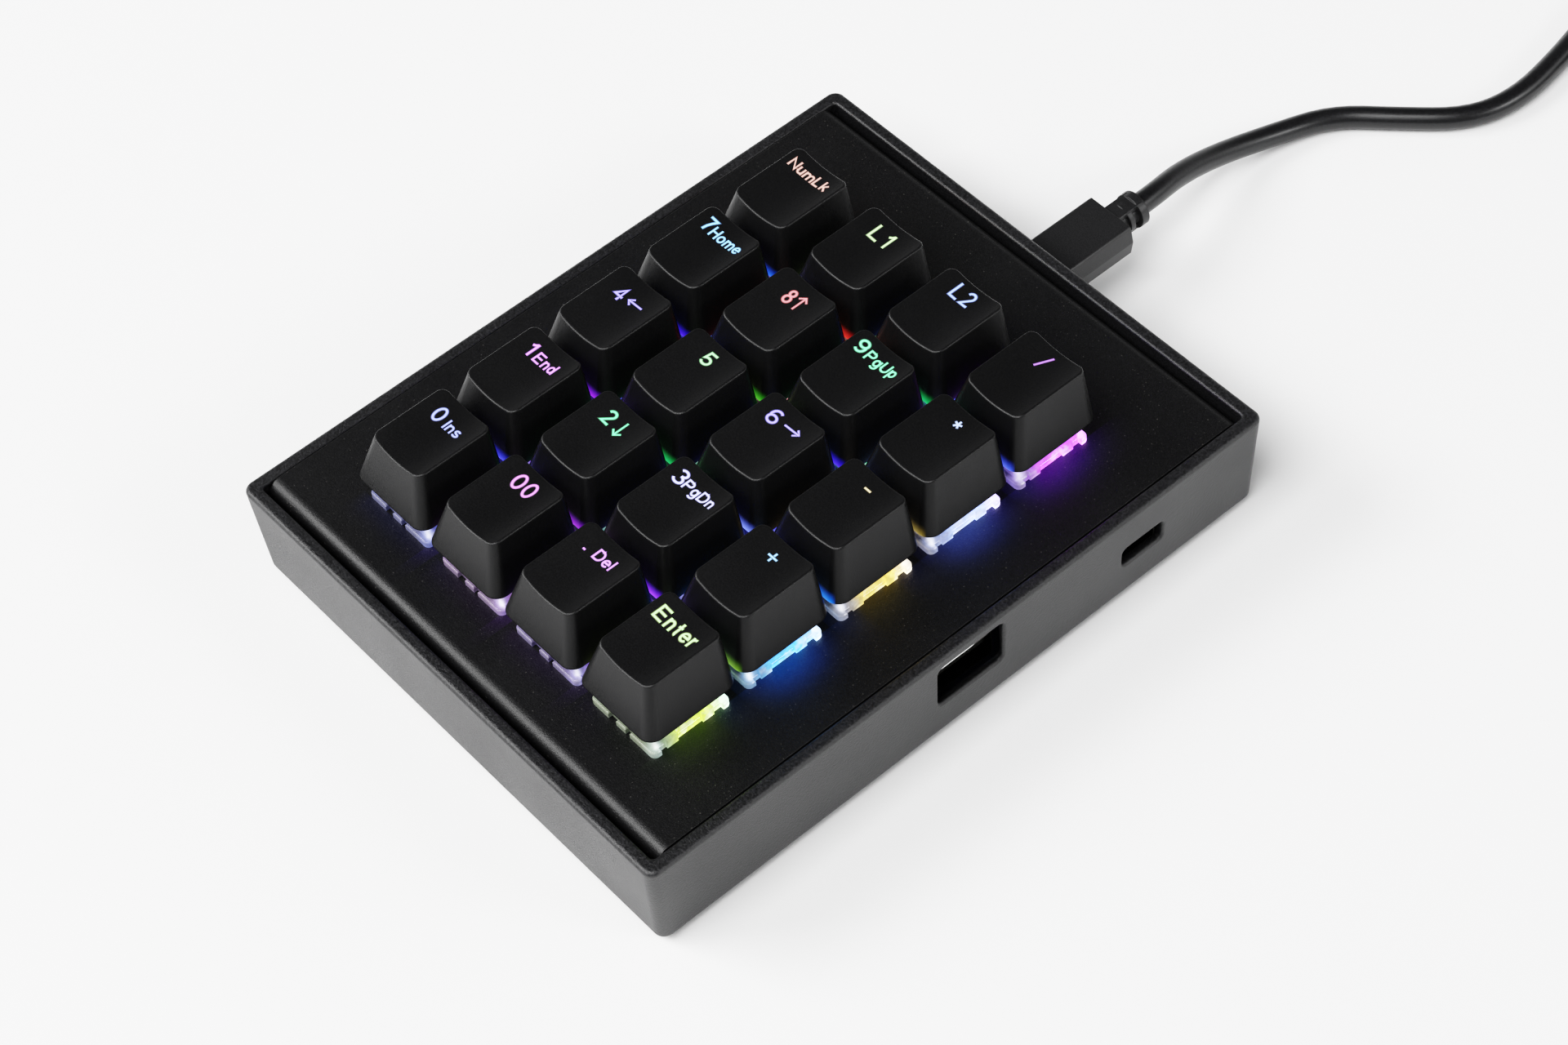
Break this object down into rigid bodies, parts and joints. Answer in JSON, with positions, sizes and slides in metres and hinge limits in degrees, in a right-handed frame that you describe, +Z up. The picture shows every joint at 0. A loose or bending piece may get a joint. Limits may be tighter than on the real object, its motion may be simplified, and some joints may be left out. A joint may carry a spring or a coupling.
{
  "type": "numeric keypad",
  "caption": "Mechanical numeric keypad with backlit sculpted keys on a folded plate in a shallow tray, with side sockets and a detachable cable.",
  "frame": {"origin": "on the surface the feet stand on, under the middle of the tray", "axes": "+X to the right of the keys, +Y to the back where the cable leaves, +Z up"},
  "size_m": [0.1348, 0.3074, 0.0363],
  "materials": {
    "keycap": "satin black, slightly polished along the top edge",
    "stem": "milky moulded",
    "case": "fine spark-eroded black",
    "plate": "black powder coat",
    "board": "solder mask",
    "housing": "clear polycarbonate, lit from below",
    "spring": "bright wire",
    "contact": "stamped",
    "led": "white package",
    "socket_shell": "tinned",
    "standoff": "turned",
    "screw": "black",
    "foot": "moulded",
    "plug_moulding": "satin black PVC",
    "plug_shell": "nickel plated",
    "cable": "satin black PVC jacket",
    "tie": "soft black"
  },
  "bodies": {
    "base": {"case_tray": "case", "switch_plate": "plate", "circuit_board": "board", "switch_lower_housings": "housing", "switch_upper_housings": "housing", "switch_springs": "spring", "switch_contacts": "contact", "switch_leds": "led", "mini_usb_sockets": "socket_shell", "usb_a_socket": "socket_shell", "plate_standoffs": "standoff", "case_screws": "screw", "rubber_feet": "foot"},
    "cable": {"plug_body": "plug_moulding", "plug_shell": "plug_shell", "cable_lead": "cable", "cable_coil": "cable", "cable_tie": "tie", "far_plug_body": "plug_moulding", "far_plug_shell": "plug_shell"},
    "key_num_lock": {"keycap_num_lock": "keycap", "stem_num_lock": "stem"},
    "key_l1": {"keycap_l1": "keycap", "stem_l1": "stem"},
    "key_l2": {"keycap_l2": "keycap", "stem_l2": "stem"},
    "key_divide": {"keycap_divide": "keycap", "stem_divide": "stem"},
    "key_7": {"keycap_7": "keycap", "stem_7": "stem"},
    "key_8": {"keycap_8": "keycap", "stem_8": "stem"},
    "key_9": {"keycap_9": "keycap", "stem_9": "stem"},
    "key_multiply": {"keycap_multiply": "keycap", "stem_multiply": "stem"},
    "key_4": {"keycap_4": "keycap", "stem_4": "stem"},
    "key_5": {"keycap_5": "keycap", "stem_5": "stem"},
    "key_6": {"keycap_6": "keycap", "stem_6": "stem"},
    "key_minus": {"keycap_minus": "keycap", "stem_minus": "stem"},
    "key_1": {"keycap_1": "keycap", "stem_1": "stem"},
    "key_2": {"keycap_2": "keycap", "stem_2": "stem"},
    "key_3": {"keycap_3": "keycap", "stem_3": "stem"},
    "key_plus": {"keycap_plus": "keycap", "stem_plus": "stem"},
    "key_0": {"keycap_0": "keycap", "stem_0": "stem"},
    "key_00": {"keycap_00": "keycap", "stem_00": "stem"},
    "key_point": {"keycap_point": "keycap", "stem_point": "stem"},
    "key_enter": {"keycap_enter": "keycap", "stem_enter": "stem"}
  },
  "joints": [
    {"name": "press_num_lock", "type": "slide", "parent": "base", "child": "key_num_lock", "axis": [0, 0, -1], "range_m": [0, 0.004], "stiffness_N_per_m": 75, "springref_m": -0.004, "deforming": ["switch_springs"]},
    {"name": "press_l1", "type": "slide", "parent": "base", "child": "key_l1", "axis": [0, 0, -1], "range_m": [0, 0.004], "stiffness_N_per_m": 75, "springref_m": -0.004, "deforming": ["switch_springs"]},
    {"name": "press_l2", "type": "slide", "parent": "base", "child": "key_l2", "axis": [0, 0, -1], "range_m": [0, 0.004], "stiffness_N_per_m": 75, "springref_m": -0.004, "deforming": ["switch_springs"]},
    {"name": "press_divide", "type": "slide", "parent": "base", "child": "key_divide", "axis": [0, 0, -1], "range_m": [0, 0.004], "stiffness_N_per_m": 75, "springref_m": -0.004, "deforming": ["switch_springs"]},
    {"name": "press_7", "type": "slide", "parent": "base", "child": "key_7", "axis": [0, 0, -1], "range_m": [0, 0.004], "stiffness_N_per_m": 75, "springref_m": -0.004, "deforming": ["switch_springs"]},
    {"name": "press_8", "type": "slide", "parent": "base", "child": "key_8", "axis": [0, 0, -1], "range_m": [0, 0.004], "stiffness_N_per_m": 75, "springref_m": -0.004, "deforming": ["switch_springs"]},
    {"name": "press_9", "type": "slide", "parent": "base", "child": "key_9", "axis": [0, 0, -1], "range_m": [0, 0.004], "stiffness_N_per_m": 75, "springref_m": -0.004, "deforming": ["switch_springs"]},
    {"name": "press_multiply", "type": "slide", "parent": "base", "child": "key_multiply", "axis": [0, 0, -1], "range_m": [0, 0.004], "stiffness_N_per_m": 75, "springref_m": -0.004, "deforming": ["switch_springs"]},
    {"name": "press_4", "type": "slide", "parent": "base", "child": "key_4", "axis": [0, 0, -1], "range_m": [0, 0.004], "stiffness_N_per_m": 75, "springref_m": -0.004, "deforming": ["switch_springs"]},
    {"name": "press_5", "type": "slide", "parent": "base", "child": "key_5", "axis": [0, 0, -1], "range_m": [0, 0.004], "stiffness_N_per_m": 75, "springref_m": -0.004, "deforming": ["switch_springs"]},
    {"name": "press_6", "type": "slide", "parent": "base", "child": "key_6", "axis": [0, 0, -1], "range_m": [0, 0.004], "stiffness_N_per_m": 75, "springref_m": -0.004, "deforming": ["switch_springs"]},
    {"name": "press_minus", "type": "slide", "parent": "base", "child": "key_minus", "axis": [0, 0, -1], "range_m": [0, 0.004], "stiffness_N_per_m": 75, "springref_m": -0.004, "deforming": ["switch_springs"]},
    {"name": "press_1", "type": "slide", "parent": "base", "child": "key_1", "axis": [0, 0, -1], "range_m": [0, 0.004], "stiffness_N_per_m": 75, "springref_m": -0.004, "deforming": ["switch_springs"]},
    {"name": "press_2", "type": "slide", "parent": "base", "child": "key_2", "axis": [0, 0, -1], "range_m": [0, 0.004], "stiffness_N_per_m": 75, "springref_m": -0.004, "deforming": ["switch_springs"]},
    {"name": "press_3", "type": "slide", "parent": "base", "child": "key_3", "axis": [0, 0, -1], "range_m": [0, 0.004], "stiffness_N_per_m": 75, "springref_m": -0.004, "deforming": ["switch_springs"]},
    {"name": "press_plus", "type": "slide", "parent": "base", "child": "key_plus", "axis": [0, 0, -1], "range_m": [0, 0.004], "stiffness_N_per_m": 75, "springref_m": -0.004, "deforming": ["switch_springs"]},
    {"name": "press_0", "type": "slide", "parent": "base", "child": "key_0", "axis": [0, 0, -1], "range_m": [0, 0.004], "stiffness_N_per_m": 75, "springref_m": -0.004, "deforming": ["switch_springs"]},
    {"name": "press_00", "type": "slide", "parent": "base", "child": "key_00", "axis": [0, 0, -1], "range_m": [0, 0.004], "stiffness_N_per_m": 75, "springref_m": -0.004, "deforming": ["switch_springs"]},
    {"name": "press_point", "type": "slide", "parent": "base", "child": "key_point", "axis": [0, 0, -1], "range_m": [0, 0.004], "stiffness_N_per_m": 75, "springref_m": -0.004, "deforming": ["switch_springs"]},
    {"name": "press_enter", "type": "slide", "parent": "base", "child": "key_enter", "axis": [0, 0, -1], "range_m": [0, 0.004], "stiffness_N_per_m": 75, "springref_m": -0.004, "deforming": ["switch_springs"]},
    {"name": "cable_unplug", "type": "slide", "parent": "base", "child": "cable", "axis": [0, 1, 0], "range_m": [0, 0.009]}
  ]
}
